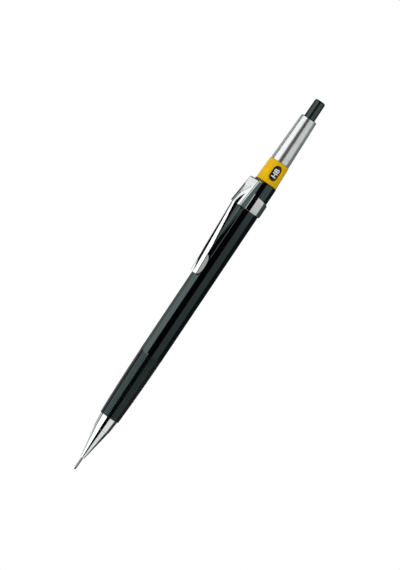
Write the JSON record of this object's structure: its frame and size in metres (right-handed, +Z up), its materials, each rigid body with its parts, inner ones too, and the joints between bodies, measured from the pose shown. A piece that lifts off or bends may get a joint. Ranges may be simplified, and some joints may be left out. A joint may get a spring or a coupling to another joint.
{
  "type": "mechanical pencil",
  "caption": "Slim push-button mechanical pencil with a faceted barrel, ribbed grip, metal cone and guide pipe, turning grade ring and pocket clip.",
  "frame": {"origin": "on the pencil's axis, at the free end of the guide pipe", "axes": "+Z up the pencil's axis from the writing tip to the push button; the clip faces -Y; +X completes the frame"},
  "size_m": [0.0088, 0.0123, 0.1416],
  "materials": {
    "barrel_black": "glossy moulded black with a ribbed grip and flat facets",
    "cone_chrome": "polished chrome plate on brass, with fine turning lines",
    "pipe_steel": "drawn stainless steel",
    "retainer_rubber": "soft black rubber",
    "chuck_brass": "turned brass",
    "spring_steel": "bright spring wire",
    "tube_plastic": "milky extruded plastic",
    "graphite": "satin graphite",
    "button_black": "glossy moulded black",
    "eraser_white": "white vinyl eraser",
    "ferrule_steel": "drawn aluminium",
    "needle_steel": "bright steel wire",
    "sleeve_black": "black with white hardness grades",
    "ring_yellow": "glossy golden yellow",
    "tube_silver": "smooth satin chrome plate",
    "clip_chrome": "polished chrome plate on pressed steel"
  },
  "bodies": {
    "barrel": {"barrel": "barrel_black", "chuck_housing": "chuck_brass", "chuck_spring": "spring_steel", "grade_sleeve": "sleeve_black", "top_tube": "tube_silver"},
    "tip": {"tip_cone": "cone_chrome", "guide_pipe": "pipe_steel", "lead_retainer": "retainer_rubber"},
    "mechanism": {"chuck": "chuck_brass", "tube_joint": "chuck_brass", "lead_tube": "tube_plastic", "spare_leads": "graphite"},
    "clutch": {"clutch_ring": "chuck_brass"},
    "lead": {"lead": "graphite"},
    "cap": {"push_button": "button_black"},
    "eraser": {"eraser": "eraser_white", "eraser_ferrule": "ferrule_steel", "cleaning_needle": "needle_steel"},
    "ring": {"window_ring": "ring_yellow"},
    "clip": {"clip": "clip_chrome"}
  },
  "joints": [
    {"name": "button_push", "type": "slide", "parent": "barrel", "child": "mechanism", "axis": [0, 0, -1], "range_m": [0, 0.0035], "stiffness_N_per_m": 900, "springref_m": -0.003, "deforming": ["chuck_spring"]},
    {"name": "clutch_travel", "type": "slide", "parent": "barrel", "child": "clutch", "axis": [0, 0, -1], "range_m": [0, 0.0006]},
    {"name": "lead_feed", "type": "slide", "parent": "barrel", "child": "lead", "axis": [0, 0, -1], "range_m": [0, 0.0006]},
    {"name": "cap_pull", "type": "slide", "parent": "mechanism", "child": "cap", "axis": [0, 0, 1], "range_m": [0, 0.04]},
    {"name": "eraser_pull", "type": "slide", "parent": "mechanism", "child": "eraser", "axis": [0, 0, 1], "range_m": [0, 0.024]},
    {"name": "ring_turn", "type": "hinge", "parent": "barrel", "child": "ring", "pos_m": [0, 0, 0.1133], "axis": [0, 0, 1], "continuous": true},
    {"name": "clip_turn", "type": "hinge", "parent": "barrel", "child": "clip", "pos_m": [0, 0, 0.101], "axis": [0, 0, 1], "continuous": true},
    {"name": "cone_off", "type": "slide", "parent": "barrel", "child": "tip", "axis": [0, 0, -1], "range_m": [0, 0.03]}
  ],
  "couplings": [
    {"joint": "clutch_travel", "follows": "button_push", "ratio": 0.17143},
    {"joint": "lead_feed", "follows": "button_push", "ratio": 0.17143},
    {"joint": "eraser_pull", "follows": "cap_pull", "ratio": 0.6}
  ]
}
